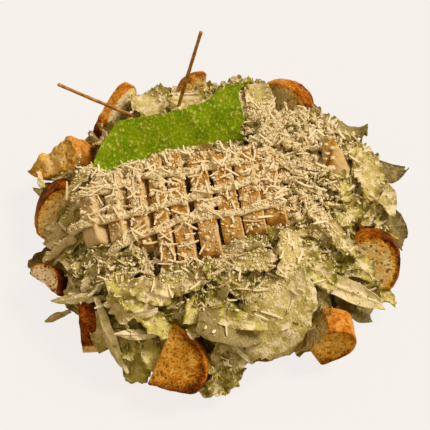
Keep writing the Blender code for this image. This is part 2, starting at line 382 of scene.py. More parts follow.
def lettuce_finish(name, coat, stalk, leaf_pale, leaf_green, dressing):
    """coat is the share of the leaf under dressing; the other words are colours."""
    made, tree, shader = new_finish(name, roughness=0.34, specular=0.16)
    rib, edge, tone = (attribute(tree, word) for word in ("rib", "edge", "tone"))
    green = sums(tree, "ADD", sums(tree, "MULTIPLY", edge, 0.45), sums(tree, "MULTIPLY", patches(tree, 12, 0.3, 0.7), 0.55))
    green = sums(tree, "ADD", green, sums(tree, "SUBTRACT", tone, 0.5), clamp=True)
    leaf = ramp(tree, green, (0.0, stalk), (0.40, leaf_pale), (1.0, leaf_green))
    vein = veins(tree)
    leaf = blend_colours(tree, sums(tree, "MULTIPLY", vein, 0.45), leaf, stalk)
    leaf = blend_colours(tree, rib, leaf, stalk)
    middle = 0.62 - 0.24 * coat
    film = patches(tree, 8, middle - 0.04, middle + 0.06, detail=5.0, shift=0.3)
    drips = patches(tree, 3.2, 0.54, 0.62, detail=2.0, shift=0.6)
    film = sums(tree, "MAXIMUM", sums(tree, "MULTIPLY", film, 0.85), sums(tree, "MULTIPLY", drips, 0.6))
    coated = blend_colours(tree, film, leaf, dressing)
    fleck = patches(tree, 1.2, 0.68, 0.76, detail=1.0, shift=0.7)
    coated = blend_colours(tree, sums(tree, "MULTIPLY", fleck, 0.35), coated, (0.16, 0.10, 0.03))
    tree.links.new(coated, shader.inputs["Base Color"])
    height = sums(tree, "ADD", grain_of(tree, 5.0, 1.5, 0.5), sums(tree, "MULTIPLY", vein, 0.10))
    height = sums(tree, "ADD", height, sums(tree, "MULTIPLY", film, 0.22))
    relief(tree, shader, height, 0.6, 1.8)
    return made


CREAM = (0.88, 0.78, 0.56)
pale_leaf = lettuce_finish("dressed pale leaf", 0.32, (0.60, 0.51, 0.20), (0.38, 0.31, 0.070), (0.20, 0.165, 0.012), CREAM)
green_leaf = lettuce_finish("dressed green leaf", 0.20, (0.64, 0.58, 0.17), (0.39, 0.35, 0.045), (0.17, 0.165, 0.008), CREAM)
# Partly the darker green of outer leaves, partly painted shade: leaf and dressing colours are darkened for leaves that
# sit in shade at the rim and under others.
olive_leaf_painted_shade = lettuce_finish("olive outer leaf, painted shade", 0.10, (0.33, 0.262, 0.105), (0.20, 0.160, 0.055), (0.105, 0.086, 0.022), (0.36, 0.28, 0.13))
rib_leaf = lettuce_finish("pale rib", 0.50, (0.84, 0.76, 0.49), (0.70, 0.61, 0.27), (0.52, 0.47, 0.12), (0.88, 0.79, 0.57))


# %% [markdown]
# Inside the heap the gaps between leaves lie in deep shade, so the core that carries the leaves is
# painted with that shade: mottled from khaki to a deep olive brown.


# %% Core finish
def core_finish():
    made, tree, shader = new_finish("shaded lettuce", roughness=0.55)
    # Painted shade: this dark khaki to olive brown mottle stands in for the shade deep in the heap.
    colour = ramp(
        tree, patches(tree, 6, 0.3, 0.7), (0.0, (0.13, 0.08, 0.012)), (0.5, (0.28, 0.19, 0.04)), (1.0, (0.48, 0.36, 0.12))
    )
    tree.links.new(colour, shader.inputs["Base Color"])
    relief(tree, shader, grain_of(tree, 5, 1.6), 0.9, 2.5)
    return made


core_look = core_finish()


# %% [markdown]
# ## Bread finish
# The crumb is cream where it is pale and golden where it caught the heat; the crust runs from
# orange brown to nearly black. Point attributes say how much crust and how much toast there is.
# The walls between pores stand up and brown first, and the pits are darkened with painted shade. One
# piece lies under the dressing, so it gets the same finish with a whiter crumb and specks of black pepper.


# %% Bread
def bread_finish(name, *crumb_stops, pepper=0.0):
    made, tree, shader = new_finish(name, roughness=0.6, specular=0.03)
    crust, toast, pore = (attribute(tree, word) for word in ("crust", "toast", "pore"))
    mottle = sums(tree, "SUBTRACT", patches(tree, 5, 0.25, 0.75), 0.5)
    fine = sums(tree, "SUBTRACT", patches(tree, 1.3, 0.25, 0.75, detail=2.0), 0.5)
    heat = sums(tree, "ADD", toast, sums(tree, "MULTIPLY", mottle, 0.22))
    heat = sums(tree, "ADD", heat, sums(tree, "MULTIPLY", fine, 0.24), clamp=True)
    crumb = ramp(tree, heat, *crumb_stops)
    # Painted shade: the pits are blended towards a dark brown by their depth.
    crumb = blend_colours(tree, sums(tree, "MULTIPLY", pore, 0.6, clamp=True), crumb, (0.40, 0.19, 0.035))
    dots = sums(tree, "MULTIPLY", patches(tree, 1.8, 0.56, 0.66, detail=1.0, shift=0.5), sums(tree, "ADD", toast, pepper))
    crumb = blend_colours(tree, sums(tree, "MULTIPLY", dots, 1.3, clamp=True), crumb, (0.12, 0.04, 0.008))
    skin_heat = sums(tree, "ADD", toast, sums(tree, "MULTIPLY", mottle, 0.42))
    skin_heat = sums(tree, "ADD", skin_heat, sums(tree, "MULTIPLY", fine, 0.34), clamp=True)
    skin = ramp(
        tree,
        skin_heat,
        (0.0, (0.84, 0.46, 0.13)),
        (0.35, (0.60, 0.21, 0.018)),
        (0.65, (0.28, 0.065, 0.003)),
        (1.0, (0.05, 0.010, 0.002)),
    )
    tree.links.new(blend_colours(tree, crust, crumb, skin), shader.inputs["Base Color"])
    tree.links.new(put(tree, "ShaderNodeMapRange", {0: crust, 3: 0.75, 4: 0.34}).outputs[0], shader.inputs["Roughness"])
    relief(tree, shader, grain_of(tree, 1.6, 0.6, 0.8), 0.6, 0.8)
    return made


TOASTED = ((0.50, (0.72, 0.34, 0.035)), (0.75, (0.36, 0.12, 0.010)), (1.0, (0.09, 0.022, 0.003)))
bread_look = bread_finish("toasted bread", (0.0, (0.94, 0.76, 0.42)), (0.25, (0.90, 0.59, 0.16)), *TOASTED)
# Partly a paler crumb, partly painted light: this brighter copy of the bread lightens crumb faces that the key light
# leaves in shade.
bread_painted_lit = bread_finish("toasted bread with painted light", (0.0, (1.0, 0.88, 0.58)), (0.25, (0.98, 0.70, 0.24)), *TOASTED)
dressed_bread = bread_finish("dressed bread", (0.0, (0.84, 0.67, 0.46)), (0.30, (0.74, 0.50, 0.26)), *TOASTED, pepper=0.6)


# %% [markdown]
# ## Chicken finish
# Golden brown where the outside met the pan, pale and faintly fibrous where it was cut.


# %% Chicken
def chicken_finish():
    made, tree, shader = new_finish("browned chicken", roughness=0.42)
    brown, dressed = attribute(tree, "brown"), attribute(tree, "dressed")
    mottle = sums(tree, "SUBTRACT", patches(tree, 5, 0.25, 0.75), 0.5)
    fine = sums(tree, "SUBTRACT", patches(tree, 1.3, 0.3, 0.7, detail=2.0), 0.5)
    heat = sums(tree, "ADD", brown, sums(tree, "MULTIPLY", mottle, 0.26))
    heat = sums(tree, "ADD", heat, sums(tree, "MULTIPLY", fine, 0.22), clamp=True)
    colour = ramp(
        tree,
        heat,
        (0.0, (0.70, 0.51, 0.27)),
        (0.25, (0.72, 0.48, 0.18)),
        (0.50, (0.62, 0.36, 0.085)),
        (0.78, (0.42, 0.19, 0.025)),
        (1.0, (0.18, 0.06, 0.008)),
    )
    film = sums(tree, "ADD", sums(tree, "MULTIPLY", patches(tree, 6, 0.35, 0.65, shift=0.2), 0.6), dressed)
    film = put(tree, "ShaderNodeMapRange", {0: film, 1: 0.45, 2: 0.95}, interpolation_type="SMOOTHSTEP").outputs[0]
    colour = blend_colours(tree, sums(tree, "MULTIPLY", film, 0.8), colour, (0.68, 0.54, 0.34))
    tree.links.new(colour, shader.inputs["Base Color"])
    height = sums(tree, "ADD", grain_of(tree, 2.0, 0.7, 0.7), sums(tree, "MULTIPLY", film, 0.4))
    relief(tree, shader, height, 0.6, 1.0)
    return made


chicken_look = chicken_finish()


# %% [markdown]
# ## Cheese, sauce, crisp and stick finishes
# These are simpler: cheese and sauce are warm creams, the crisp is a bright green with yellow
# bubbles and a few browned dots, and the sticks are baked tan.


# %% Cheese and sauce
def cheese_finish():
    made, tree, shader = new_finish("grated cheese", roughness=0.5)
    colour = ramp(
        tree, attribute(tree, "tone"), (0.0, (0.76, 0.62, 0.38)), (0.4, (0.90, 0.79, 0.56)), (1.0, (0.95, 0.88, 0.70))
    )
    tree.links.new(colour, shader.inputs["Base Color"])
    relief(tree, shader, patches(tree, 0.7, output="Value"), 0.4, 0.3)
    return made


def sauce_finish():
    made, tree, shader = new_finish("creamy sauce", roughness=0.36)
    colour = ramp(tree, patches(tree, 5, 0.3, 0.7), (0.0, (0.76, 0.62, 0.38)), (1.0, (0.90, 0.80, 0.57)))
    tree.links.new(colour, shader.inputs["Base Color"])
    relief(tree, shader, grain_of(tree, 1.4, 0.6), 0.7, 0.9)
    return made


cheese_look = cheese_finish()
sauce_look = sauce_finish()


# %% Crisp and sticks
def crisp_finish():
    made, tree, shader = new_finish("green crisp", roughness=0.34)
    bubble = attribute(tree, "bubble")
    green = ramp(tree, patches(tree, 11, 0.25, 0.75), (0.0, (0.17, 0.35, 0.002)), (1.0, (0.32, 0.50, 0.004)))
    fleck = patches(tree, 1.8, 0.50, 0.66, detail=2.0, shift=0.4)
    green = blend_colours(tree, sums(tree, "MULTIPLY", fleck, 0.4), green, (0.62, 0.70, 0.06))
    green = blend_colours(tree, sums(tree, "MULTIPLY", bubble, 1.5, clamp=True), green, (0.64, 0.70, 0.13))
    burnt = patches(tree, 2.8, 0.72, 0.76, detail=1.0, shift=0.9)
    colour = blend_colours(tree, sums(tree, "MULTIPLY", burnt, 0.85), green, (0.40, 0.22, 0.03))
    tree.links.new(colour, shader.inputs["Base Color"])
    relief(tree, shader, grain_of(tree, 2.4, 0.9), 0.6, 0.9)
    return made


def stick_finish():
    made, tree, shader = new_finish("baked stick", roughness=0.45)
    colour = ramp(
        tree, patches(tree, 4, 0.3, 0.7), (0.0, (0.34, 0.13, 0.03)), (0.6, (0.52, 0.24, 0.06)), (1.0, (0.66, 0.36, 0.12))
    )
    tree.links.new(colour, shader.inputs["Base Color"])
    relief(tree, shader, patches(tree, 1.0, output="Value"), 0.5, 0.4)
    return made


crisp_look = crisp_finish()
stick_look = stick_finish()

# %% [markdown]
# ## The core
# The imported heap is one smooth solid. A copy of it, merged, drawn in and lowered, keeps the pockets
# for the chicken and the bread and hides beneath the leaves, so the heap is never hollow. Remeshed
# and pushed about by noise, it reads as more leaves wherever a gap lets the eye in.

# %% Core
core = copy_of("lettuce_heap", "lettuce_core")
bpy.ops.object.mode_set(mode="EDIT")
bpy.ops.mesh.select_all(action="SELECT")
bpy.ops.transform.resize(value=(0.95, 0.95, 0.90), center_override=(0, 0, 0))
bpy.ops.object.mode_set(mode="OBJECT")
modify(core, "REMESH", mode="VOXEL", voxel_size=2.1 * MM)
points, normals = points_of(core.data), normals_of(core.data)
push = 2.2 * layered_noise(points, 11 * MM, 1) + 1.0 * soft_noise(points, 4 * MM, 2)
points += normals * ((push - 0.5) * MM * step_up(points[:, 2], 0, 6 * MM))[:, None]
points[:, 2] = np.maximum(points[:, 2], 0)
move_points(core.data, points)
core.data.materials.append(core_look)
serve(core, "dressed_lettuce", "lettuce_heap")


# %% [markdown]
# ## Chicken
# Each packed slice already has the right size, lean and place. A merged copy is remeshed finely,
# then its cut faces get shallow fibres and its outside gets the uneven bumps of browned meat. The
# thin way of a slice is the direction in which its points spread least, and a face that looks that
# way is a cut face.


# %% Chicken slices
def thin_way(points):
    centred = points - points.mean(0)
    return np.linalg.svd(centred.T @ centred)[0][:, 2]


def chicken_slice(node, number):
    piece = copy_of(node, node.replace("chicken_", "meat_"))
    raw = points_of(piece.data)
    thin = thin_way(raw)
    if "slice" in node:
        swell = np.outer((raw - raw.mean(0)) @ thin, thin) * 0.13
        move_points(piece.data, raw + swell)
    modify(piece, "REMESH", mode="VOXEL", voxel_size=0.7 * MM)
    modify(piece, "SMOOTH", factor=0.5, iterations=2)
    points, normals = points_of(piece.data), normals_of(piece.data)
    outside = 1 - step_up(np.abs(normals @ thin), 0.40, 0.85)
    lumps = 0.55 * soft_noise(points, 8 * MM, number) + 0.22 * soft_noise(points, 2.2 * MM, number)
    fibre = points - np.outer(points @ thin, thin)
    fibre[:, 0] *= 0.3
    lumps += 0.25 * soft_noise(fibre, 1.5 * MM, number + 3) * (1 - outside)
    move_points(piece.data, points + normals * (lumps * MM)[:, None])
    depth = points @ thin
    middle, half = (depth.max() + depth.min()) / 2, (depth.max() - depth.min()) / 2
    rim = step_up(np.abs(depth - middle) / half, 0.55, 1.0)
    lower = 1 - step_up(points[:, 2], points[:, 2].min() + 3 * MM, points[:, 2].min() + 12 * MM)
    brown = outside * (0.52 + 0.16 * soft_noise(points, 9 * MM, number + 5) + 0.16 * rim - 0.10 * lower) + 0.10
    if "tip" in node:
        ridge = np.exp(-(((points - points.mean(0)) @ np.array((0.9, -0.3, 0.0)) / MM + 3.5) / 2.5) ** 2)
        brown = 0.08 + 0.75 * ridge * step_up(normals[:, 2], -0.2, 0.4)
    write_attribute(piece.data, "brown", np.clip(brown, 0, 1))
    left_end = step_up(-plan_of(points)[:, 0], 40, 70)
    write_attribute(piece.data, "dressed", 0.16 + 0.5 * left_end + 0.20 * soft_noise(points, 12 * MM, number + 7))
    piece.data.materials.append(chicken_look)
    return serve(piece, "browned_chicken", node)


meat_nodes = sorted(node for node in frame["nodes"] if node.startswith("chicken_"))
meat = [chicken_slice(node, number) for number, node in enumerate(meat_nodes)]


# %% [markdown]
# ## Croutons
# A crouton is a cut from a baguette: an oval loaf slice less the straight cuts of the knife. The
# slice starts as a cylinder, is cut with bisect, remeshed finely, and then its crumb is pitted with
# pores and its crust is roughened. Every point learns how near it is to the crust, which drives
# the colour, and a crouton browns most on the side that faced the heat.


# %% Crouton maker
def flat_share(points, degrees, reach):
    """How far points lie towards this direction of the slice's face, from -1 to 1."""
    return (points[:, 0] * math.cos(math.radians(degrees)) + points[:, 2] * math.sin(math.radians(degrees))) / reach


def crouton(
    name, size, turns, cuts, toast=0.2, skin_toast=0.4, burn=(-90, 0.3), rim=0.30, pore=1.0, torn=0.0, bare=None, look=None, seed=0
):
    """size is width, height and thickness; turns are tilt, spin and heading in degrees.

    burn is the direction and strength of the browning, rim how far the crumb browns beside the
    crust; bare is a direction and the share of the half size beyond which the crust is missing.
    """
    width, height, thick = (side * MM for side in size)
    bpy.ops.object.select_all(action="DESELECT")
    bpy.ops.mesh.primitive_cylinder_add(vertices=72, radius=1.0, depth=1.0)
    piece = bpy.context.object
    piece.name = "bread_" + name
    bpy.ops.object.mode_set(mode="EDIT")
    for direction, share in cuts:
        away = Vector((math.cos(math.radians(direction)), math.sin(math.radians(direction)), 0))
        bpy.ops.mesh.select_all(action="SELECT")
        bpy.ops.mesh.bisect(plane_co=away * share, plane_no=away, use_fill=True, clear_outer=True)
    bpy.ops.object.mode_set(mode="OBJECT")
    raw = points_of(piece.data)
    middle = (raw.max(0) + raw.min(0)) / 2 * np.array((1, 1, 0))
    raw = raw - middle
    move_points(piece.data, np.stack([0.5 * width * raw[:, 0], -thick * raw[:, 2], 0.5 * height * raw[:, 1]], 1))
    only(piece)
    bpy.ops.object.mode_set(mode="EDIT")
    bpy.ops.mesh.select_all(action="SELECT")
    bpy.ops.mesh.normals_make_consistent(inside=False)
    bpy.ops.object.mode_set(mode="OBJECT")
    modify(piece, "BEVEL", width=1.1 * MM, segments=2, limit_method="ANGLE", angle_limit=math.radians(50))
    modify(piece, "REMESH", mode="VOXEL", voxel_size=0.66 * MM)
    points, normals = points_of(piece.data), normals_of(piece.data)
    reach = 0.25 * (width + height)
    oval = np.hypot(points[:, 0] / (0.5 * width) + middle[0], points[:, 2] / (0.5 * height) + middle[1])
    wander = 0.025 * soft_noise(points, 5 * MM, seed) + 0.015 * soft_noise(points, 2 * MM, seed)
    skin = step_up(oval + wander, 0.90, 0.955)
    if bare:
        skin *= 1 - step_up(flat_share(points, bare[0], reach) + 2 * wander, bare[1], bare[1] + 0.08)
    near_skin = step_up(oval, 0.58, 0.97) ** 2
    warp = 1.1 * soft_noise(points, 15 * MM, seed) + 0.35 * soft_noise(points, 4 * MM, seed)
    warp += torn * (1 - skin) * (3.6 * layered_noise(points, 9 * MM, seed + 2) + 0.6)
    jitter = np.stack([soft_noise(points, 3 * MM, seed + k) for k in (6, 7, 8)], 1)
    squeezed = points * np.array((1.0, 1.0, 0.75)) + 0.8 * MM * jitter
    hole = 1.5 * pits(squeezed, 4.6 * MM, seed, 0.35) + 1.2 * pits(squeezed, 3.0 * MM, seed + 20, 0.5)
    hole = np.minimum(hole + 0.8 * pits(squeezed, 1.9 * MM, seed + 40, 0.7), 2.2) * (1 - skin) * pore
    move_points(piece.data, points + normals * ((warp - hole) * MM)[:, None])
    write_attribute(piece.data, "crust", skin)
    # The pore depth is kept for the painted shade in the pits.
    write_attribute(piece.data, "pore", np.clip(hole / 1.7, 0, 1))
    patchy = soft_noise(points, 10 * MM, seed + 5)
    heat = burn[1] * step_up(flat_share(points, burn[0], reach), -0.1, 0.9)
    knife_side = 1 - step_up(np.abs(normals[:, 1]), 0.3, 0.7)
    crumb_heat = (toast + rim * near_skin) * (1 - 0.7 * knife_side) + 0.10 * patchy + 0.8 * heat * (toast + 0.25)
    skin_heat = skin_toast + 0.14 * patchy + heat
    write_attribute(piece.data, "toast", np.clip(crumb_heat * (1 - skin) + skin_heat * skin, 0, 1))
    tilt, spin, heading = turns
    piece.rotation_mode = "YXZ"
    piece.rotation_euler = (math.radians(tilt), math.radians(spin), math.radians(heading))
    settle_in(piece)
    centre_on(piece, "crouton_" + name)
    piece.data.materials.append(look or bread_look)
    return serve(piece, "toasted_bread", "crouton_" + name)


# %% Croutons
croutons = [
    crouton("back", (34, 25, 14), (-37, 1, 11), [(-106, 0.59), (-4, 0.21)], 0.28, 0.34, (110, 0.2), look=bread_painted_lit, seed=1),
    crouton(
        "back_left", (23.5, 50.5, 8.5), (-7, 59, 53), [(0, 0.83), (-83, 0.78)], 0.0, 0.30, (-60, 0.7), 0.1, 0.9, look=bread_painted_lit, seed=2
    ),
    crouton(
        "left_upper", (49, 34.5, 21), (-50, -30, -38), [(134, 0.05), (-80, 0.9)], 0.20, 0.10, (0, 0.2), torn=1.0, seed=3
    ),
    crouton(
        "left", (36, 52.5, 14.5), (-26, 15, 15), [(-48, 0.21), (-120, 0.77)], 0.16, 0.50, (110, 0.35), 0.2, 0.9, look=bread_painted_lit, seed=4
    ),
    crouton(
        "left_lower",
        (35.5, 39, 17.5),
        (-56, -30, -60),
        [(188, 0.58), (258, -0.3)],
        0.0,
        0.62,
        (-20, 0.9),
        pore=0.4,
        look=dressed_bread,
        seed=5,
    ),
    crouton(
        "front_left", (37.5, 39, 10), (1, 24, 93), [(-19, -0.19), (-70, 0.59)], 0.05, 0.74, (0, 0.0), bare=(-80, 0.30), seed=6
    ),
    crouton(
        "front", (60.5, 43.5, 15.5), (-55, 11, -22), [(184, 0.08), (-67, 0.81)], 0.42, 0.38, (-50, 0.45), 0.46, 0.9, seed=7
    ),
    crouton("front_right", (41, 28.5, 22), (-15, -11, 6), [(144, 0.38), (-167, 0.45)], 0.42, 0.26, (-90, 0.3), pore=0.9, seed=8),
    crouton("right", (40.5, 48, 17.5), (-35, 19, -5), [(199, 0.79), (-71, 0.59)], 0.04, 0.32, (60, 0.45), 0.70, 1.7, seed=9),
    crouton(
        "back_right", (43.5, 32.5, 18.5), (-31, 1, -25), [(182, 0.6), (-95, 0.54)], 0.14, 0.34, (20, 0.35), look=bread_painted_lit, seed=10
    ),
]

# %% [markdown]
# ## Green crisp
# A baked tile of herbs: thin, bent, with a bubbly skin and a torn right end. It is a fine grid,
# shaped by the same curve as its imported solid, given a wall and then blistered.

# %% Green crisp
bpy.ops.object.select_all(action="DESELECT")
bpy.ops.mesh.primitive_grid_add(x_subdivisions=180, y_subdivisions=54, size=1)
crisp = bpy.context.object
crisp.name = "herb_crisp"
grid = points_of(crisp.data)
run, rise = grid[:, 0] + 0.5, grid[:, 1] + 0.5
top = 35.5 * np.minimum(1.0, (run / 0.27) ** 0.58) * (1 + 0.17 * np.clip((run - 0.80) / 0.10, 0, 1))
bottom = 0.06 * 35.5 * np.sin(3 * np.pi * run)
edge_line = np.stack([run * 100, np.where(rise > 0.5, 3.0, 60.0), run * 0], 1)
height = bottom + (top - bottom) * rise + 0.8 * soft_noise(edge_line, 4.0) * np.abs(2 * rise - 1)
end_line = np.stack([rise * 30, rise * 0, rise * 0], 1)
torn_end = soft_noise(end_line, 5.0, 3) + 0.6 * soft_noise(end_line, 2.0, 4)
spike = 8.0 * np.clip((rise - 0.78) / 0.22, 0, 1) ** 1.1 + 3.0 * np.exp(-(((rise - 0.70) / 0.12) ** 2))
length = 114 * (run - 0.5) + (1.8 * torn_end + spike - 1.0) * step_up(run, 0.86, 1.0)
back = 4 * (1 - (2 * run - 1) ** 2) + 0.55 * height + 2.0 * np.sin(2.2 * np.pi * run + 0.6) * rise
move_points(crisp.data, np.stack([length, back, height], 1) * MM)
modify(crisp, "SOLIDIFY", thickness=1.0 * MM, offset=0.0)
points, normals = points_of(crisp.data), normals_of(crisp.data)
blister = np.maximum(pits(points, 3.2 * MM, 2, share=0.9, radius=0.42), 0.6 * pits(points, 1.9 * MM, 5, share=0.6, radius=0.45))
move_points(crisp.data, points + normals * ((0.5 * blister + 0.5 * soft_noise(points, 7 * MM)) * MM)[:, None])
write_attribute(crisp.data, "bubble", blister)
crisp.rotation_euler = (0, math.radians(-5), math.radians(15))
settle_in(crisp)
centre_on(crisp, "green_crisp")
crisp.data.materials.append(crisp_look)
serve(crisp, "green_crisp", "green_crisp")


# %% [markdown]
# ## Baked sticks
# Thin rods of dough, a little bowed and uneven, with blunt round ends. Each starts as a cylinder
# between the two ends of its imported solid; bisects cut it into rings, which are then swelled and
# shifted.


# %% Sticks
def baked_stick(node, foot_corner, tip_corner):
    low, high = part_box(node)
    inset = 1.25 * MM
    foot, tip = (
        Vector(low[axis] + inset if corner[axis] < 0 else high[axis] - inset for axis in range(3))
        for corner in (foot_corner, tip_corner)
    )
    along = tip - foot
    bpy.ops.object.select_all(action="DESELECT")
    bpy.ops.mesh.primitive_cylinder_add(vertices=14, radius=1.25 * MM, depth=along.length)
    piece = bpy.context.object
    piece.name = node.replace("crisp", "baked")
    bpy.ops.object.mode_set(mode="EDIT")
    for height in np.linspace(-0.5, 0.5, 62)[1:-1]:
        bpy.ops.mesh.select_all(action="SELECT")
        bpy.ops.mesh.bisect(plane_co=(0, 0, float(height * along.length)), plane_no=(0, 0, 1))
    bpy.ops.object.mode_set(mode="OBJECT")
    modify(piece, "BEVEL", width=0.6 * MM, segments=3, limit_method="ANGLE", angle_limit=math.radians(50))
    points = points_of(piece.data)
    share = points[:, 2] / along.length + 0.5
    girth = 1 + 0.12 * soft_noise(points * (0, 0, 1.0), 8 * MM, 2) + 0.06 * soft_noise(points, 2 * MM)
    points[:, :2] *= girth[:, None]
    points[:, 0] += 1.1 * MM * np.sin(np.pi * share)
    move_points(piece.data, points)
    piece.matrix_world = Matrix.Translation((foot + tip) / 2) @ along.to_track_quat("Z", "Y").to_matrix().to_4x4()
    settle_in(piece)
    piece.data.materials.append(stick_look)
    return serve(piece, "baked_stick", node)


sticks = [
    baked_stick("crisp_stick_left", (1, -1, -1), (-1, 1, 1)),
    baked_stick("crisp_stick_right", (-1, 1, -1), (1, -1, 1)),
]


# %% [markdown]
# ## Where things land
# Leaves lie on the heap, and sauce and cheese lie on whatever is uppermost. Meshes are joined into
# a search tree, and a ray dropped from above finds the surface and its slope.


# %% Landing surface
def landing(pieces):
    points, sides, count = [], [], 0
    for piece in pieces:
        own = points_of(piece.data)
        points.append(own)
        sides += [tuple(corner + count for corner in p.vertices) for p in piece.data.polygons]
        count += len(own)
    return BVHTree.FromPolygons(np.concatenate(points).tolist(), sides)


def drop(tree, x, y):
    """Where a ray dropped at this place of the plan lands, and the slope there."""
    top = on_plan(x, y, 200)
    hit, normal, _, _ = tree.ray_cast(top, Vector((0, 0, -1)))
    return hit, normal


heap_tree = landing([frame["nodes"]["lettuce_heap"]])
topping_tree = landing([*meat, *croutons, crisp])


# %% [markdown]
# ## One leaf
# A torn piece of romaine starts as a grid. Its outline narrows to both ends and is a little torn,
# its sides cup and ruffle, the rib stands up along the middle, and the whole piece bends and
# twists. The same function with other words gives a frilly leaf, a smooth one or a chunk of rib.


# %% Leaf maker
FORM = {
    "ruffle": 2.0,
    "waves": 2.5,
    "frill": 0.0,
    "cup": 0.15,
    "bend": -0.4,
    "twist": 0.2,
    "rib": 0.8,
    "tip": 0.5,
    "ragged": 0.14,
    "crumple": 1.2,
}


def leaf(name, length, width, form, seed=0, rows=16, columns=10):
    """A leaf piece in millimetres along +Y, face up. form overrides the words of FORM.

    tip above 1 gives pointed ends, frill is the height of the small waves at the edge.
    """
    form = FORM | form
    bpy.ops.object.select_all(action="DESELECT")
    bpy.ops.mesh.primitive_grid_add(x_subdivisions=columns, y_subdivisions=rows, size=2)
    piece = bpy.context.object
    piece.name = name
    grid = points_of(piece.data)
    across, along = grid[:, 0], (grid[:, 1] + 1) / 2
    across = np.sign(across) * np.abs(across) ** 1.1
    side = np.sign(across) * 9.0
    a, b, c = (float(lattice(np.array([[seed, k, 2.0]]), 1)[0]) * 9 for k in range(3))
    line = np.stack([along * length, side, side * 0 + a], 1)
    tear = soft_noise(line, 11.0, seed) + 0.35 * soft_noise(line, 3.5, seed + 3)
    outline = np.sin(np.pi * np.clip(0.07 + 0.88 * along, 0, 1)) ** form["tip"] * (1 + form["ragged"] * tear)
    end_tear = layered_noise(np.stack([across * width / 2, side * 0, side * 0 + b], 1), 7.0, seed + 5)
    x = across * width / 2 * outline
    y = length * (along - 0.5) + 0.5 * form["ragged"] * length * end_tear * np.abs(2 * along - 1) ** 3
    phase = form["waves"] * 2 * np.pi * along + np.where(across > 0, a, b)
    wave = np.sin(phase + 1.5 * np.sin(phase * 0.37 + c))
    z = form["ruffle"] * np.abs(across) ** 1.8 * wave
    z += form["frill"] * np.abs(across) ** 5 * np.sin(2 * np.pi * y / 4.6 + 1.3 * soft_noise(line, 6.0, seed + 9))
    z += form["cup"] * width / 2 * across**2
    z += form["rib"] * np.exp(-((across / 0.14) ** 2)) * (1 - 0.8 * along)
    flat = np.stack([x, y, x * 0], 1)
    z += form["crumple"] * (layered_noise(flat, 8.0, seed + 7) + 0.35 * soft_noise(flat, 3.2, seed + 8))
    write_attribute(piece.data, "along", y)
    write_attribute(piece.data, "across", np.abs(x))
    x = x * (1 - 0.08 * np.abs(across) * (wave + 1) / 2)
    turn = form["twist"] * (along - 0.5) * 2
    x, z = x * np.cos(turn) - z * np.sin(turn), x * np.sin(turn) + z * np.cos(turn)
    if abs(form["bend"]) > 0.01:
        radius = length / abs(form["bend"])
        up = 1 if form["bend"] > 0 else -1
        z = z * up
        y, z = (radius - z) * np.sin(y / radius), (radius - (radius - z) * np.cos(y / radius)) * up
    move_points(piece.data, np.stack([x, y, z], 1) * MM)
    write_attribute(piece.data, "rib", np.exp(-((across / 0.17) ** 2)) * (1 - 0.75 * along))
    write_attribute(piece.data, "edge", np.abs(across) ** 2.5)
    return piece


LEAF_WORDS = ("rib", "edge", "along", "across")


def gather(piece):
    """A kind's points, faces and leaf attributes, after which its object is removed."""
    mesh = piece.data
    words = {}
    for word in LEAF_WORDS:
        if word in mesh.attributes:
            values = np.empty(len(mesh.vertices), np.float32)
            mesh.attributes[word].data.foreach_get("value", values)
            words[word] = values
    kind = (points_of(mesh), [tuple(p.vertices) for p in mesh.polygons], words)
    bpy.data.objects.remove(piece)
    return kind


def spread(name, kinds, places, look):
    """One object of many copies: places holds (kind, matrix, tone)."""
    points, faces, tones, words = [], [], [], {}
    count = 0
    for kind, matrix, tone in places:
        base, sides, marks = kinds[kind]
        turn = np.array(matrix)
        points.append(base @ turn[:3, :3].T + turn[:3, 3])
        faces += [tuple(corner + count for corner in side) for side in sides]
        tones.append(np.full(len(base), tone))
        for word, values in marks.items():
            words.setdefault(word, []).append(values)
        count += len(base)
    mesh = bpy.data.meshes.new(name)
    mesh.from_pydata(np.concatenate(points).tolist(), [], faces)
    write_attribute(mesh, "tone", np.concatenate(tones))
    for word, values in words.items():
        write_attribute(mesh, word, np.concatenate(values))
    mesh.materials.append(look)
    made = bpy.data.objects.new(name, mesh)
    bpy.context.scene.collection.objects.link(made)
    return made


def facing(at, normal, heading, pitch=0.0, roll=0.0, size=1.0, mirror=1.0):
    """Places a piece on a surface: its face along the normal, its length towards the heading."""
    up = Vector(normal).normalized()
    along = Vector((math.cos(heading), math.sin(heading), 0))
    along = (along - along.dot(up) * up).normalized()
    side = along.cross(up)
    base = Matrix((side, along, up)).transposed().to_4x4()
    tilt = Matrix.Rotation(pitch, 4, "X") @ Matrix.Rotation(roll, 4, "Y")
    return Matrix.Translation(at) @ base @ tilt @ Matrix.Diagonal((size * mirror, size, size, 1))


def lay_leaves(piece, thickness=0.7):
    """Gives a leaf mesh its wall, keeps it on the table and hands it over."""
    only(piece)
    bpy.ops.object.mode_set(mode="EDIT")
    bpy.ops.mesh.select_all(action="SELECT")
    bpy.ops.mesh.normals_make_consistent(inside=False)
    bpy.ops.object.mode_set(mode="OBJECT")
    points = points_of(piece.data)
    low = np.minimum(points[:, 2] - 2 * MM, 0)
    points[:, 2] = np.maximum(points[:, 2], (2 + 0.06 * low / MM) * MM)
    move_points(piece.data, points)
    modify(piece, "SOLIDIFY", thickness=thickness * MM, offset=0.0)
    return serve(piece, "dressed_lettuce")


# %% [markdown]
# ## Large leaves
# The leaves that give the heap its outline are made one by one, each with its own length, width,
# frill and bend: a broad pale leaf hangs over the front, a frilled one lies beside it, scalloped
# outer leaves fan out on the right, and ribs and torn strips lie between the croutons.

